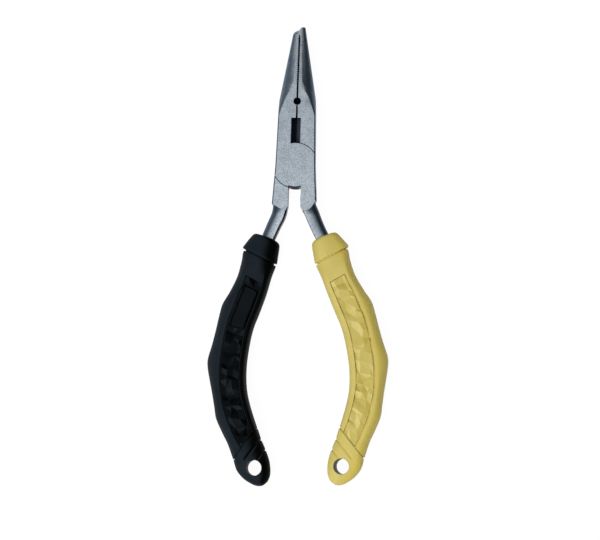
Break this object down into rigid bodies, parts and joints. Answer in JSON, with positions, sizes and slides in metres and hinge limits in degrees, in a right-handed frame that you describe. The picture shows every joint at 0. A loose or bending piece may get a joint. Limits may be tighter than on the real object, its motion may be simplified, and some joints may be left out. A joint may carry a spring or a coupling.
{
  "type": "fishing pliers",
  "caption": "Long-nose fishing pliers with a split-ring hook, crimp hole, line cutter and two curved moulded grips.",
  "frame": {"origin": "middle of the object's outline on the surface the closed pliers lie on; the grips mirror each other in X = 0", "axes": "+Y from the grips to the nose tip, +Z out of the front face, +X towards the yellow grip"},
  "size_m": [0.0668, 0.1707, 0.0116],
  "materials": {
    "forged_steel": "bead-blasted satin",
    "rivet_steel": "turned and pressed",
    "blade_steel": "hardened and ground, dark",
    "yellow_grip": "fine moulded matt",
    "yellow_inlay": "faceted anti-slip relief",
    "black_grip": "fine moulded matt",
    "black_inlay": "faceted anti-slip relief"
  },
  "bodies": {
    "back_body": {"back_half": "forged_steel", "cutter_blade_right": "blade_steel", "black_grip": "black_grip", "black_inlay_front": "black_inlay", "black_inlay_back": "black_inlay"},
    "front_body": {"front_half": "forged_steel", "cutter_blade_left": "blade_steel", "pivot_rivet": "rivet_steel", "yellow_grip": "yellow_grip", "yellow_inlay_front": "yellow_inlay", "yellow_inlay_back": "yellow_inlay"}
  },
  "joints": [
    {"name": "jaw_pivot", "type": "hinge", "parent": "back_body", "child": "front_body", "pos_m": [0, 0.03342, 0.0058], "axis": [0, 0, 1], "range_deg": [0, 50]}
  ]
}
